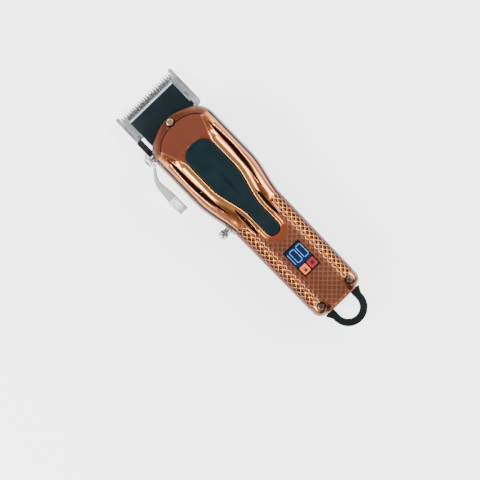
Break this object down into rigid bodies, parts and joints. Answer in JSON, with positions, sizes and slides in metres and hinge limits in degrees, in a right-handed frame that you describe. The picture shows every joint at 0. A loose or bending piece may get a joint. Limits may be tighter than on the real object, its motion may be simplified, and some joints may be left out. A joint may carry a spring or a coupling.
{
  "type": "hair clipper",
  "caption": "Cordless hair clipper with a copper-coloured metal casing, taper lever, side switch, charge display and hanging loop.",
  "frame": {"origin": "on the flat of the back that the clipper lies on, on the middle plane, in the middle of the flat's length to within 2 mm", "axes": "+X from the tail to the blade teeth, +Y to the side with the lever and the switch, +Z out of the face with the display"},
  "size_m": [0.1897, 0.0575, 0.0341],
  "materials": {
    "copper_metal": "polished copper-coloured plating, satin on the nose",
    "black_plastic": "fine matte",
    "brass_screw": "polished",
    "steel": "plain",
    "dark_window": "smoked and polished",
    "display_black": "plain",
    "board_green": "lacquered board",
    "component_black": "moulded",
    "cell_wrap": "shrink film",
    "magnet_grey": "sintered",
    "rubber": "soft",
    "core_iron": "stacked sheets",
    "winding": "enamelled copper wire",
    "brass_part": "turned",
    "black_blade": "black coating with a bare ground bevel",
    "white_nylon": "moulded",
    "black_metal": "black coating",
    "blade_steel": "ground",
    "chrome": "bright plating",
    "wire_red": "insulated wire"
  },
  "bodies": {
    "casing": {"front_shell": "copper_metal", "rear_cover": "copper_metal", "grip_inlay": "black_plastic", "inner_lid": "black_plastic", "nose_screw": "brass_screw", "tail_screws": "steel", "back_screws": "steel", "display_window": "dark_window", "display_module": "display_black", "control_board": "board_green", "board_parts": "component_black", "charge_board": "board_green", "charge_socket": "steel", "hanging_loop": "black_plastic", "battery_cell": "cell_wrap", "battery_tabs": "steel", "chassis": "black_plastic", "motor_can": "steel", "motor_magnets": "magnet_grey", "motor_end_cap": "black_plastic", "motor_bracket": "steel", "motor_screws": "steel", "motor_rings": "rubber", "tension_spring": "steel", "spring_bridge": "black_plastic", "bridge_screws": "steel", "blade_platform": "black_metal", "platform_screws": "steel", "lever_stud": "steel", "lever_washer": "steel", "lever_screw": "chrome", "switch_bezel": "chrome", "switch_body": "black_plastic", "motor_leads": "wire_red", "battery_leads": "wire_red", "charge_leads": "wire_red"},
    "rotor": {"rotor_shaft": "steel", "armature_core": "core_iron", "armature_windings": "winding", "commutator": "brass_part", "crank_cam": "brass_part"},
    "cutter": {"cutter_blade": "black_blade", "cutter_follower": "white_nylon", "follower_screws": "steel"},
    "blade_slide": {"blade_carriage": "black_metal", "guide_screws": "steel", "stationary_blade": "blade_steel", "blade_screws": "steel"},
    "lever": {"taper_lever": "chrome"},
    "switch": {"switch_knob": "chrome"}
  },
  "joints": [
    {"name": "motor_spin", "type": "hinge", "parent": "casing", "child": "rotor", "pos_m": [0.05, 0, 0.0152], "axis": [1, 0, 0], "range_deg": [-60, 60]},
    {"name": "cutter_stroke", "type": "slide", "parent": "casing", "child": "cutter", "axis": [0, 1, 0], "range_m": [-0.0013, 0.0013]},
    {"name": "lever_turn", "type": "hinge", "parent": "casing", "child": "lever", "pos_m": [0.0638, 0.025, 0.0112], "axis": [0, 1, 0], "range_deg": [0, 32]},
    {"name": "blade_shift", "type": "slide", "parent": "casing", "child": "blade_slide", "axis": [1, 0, 0], "range_m": [-0.00176, 0]},
    {"name": "switch_throw", "type": "slide", "parent": "casing", "child": "switch", "axis": [1, 0, 0], "range_m": [0, 0.004]}
  ],
  "couplings": [
    {"joint": "motor_spin", "follows": "cutter_stroke", "rad_per_m": -806.13},
    {"joint": "lever_turn", "follows": "blade_shift", "rad_per_m": -316.6}
  ]
}
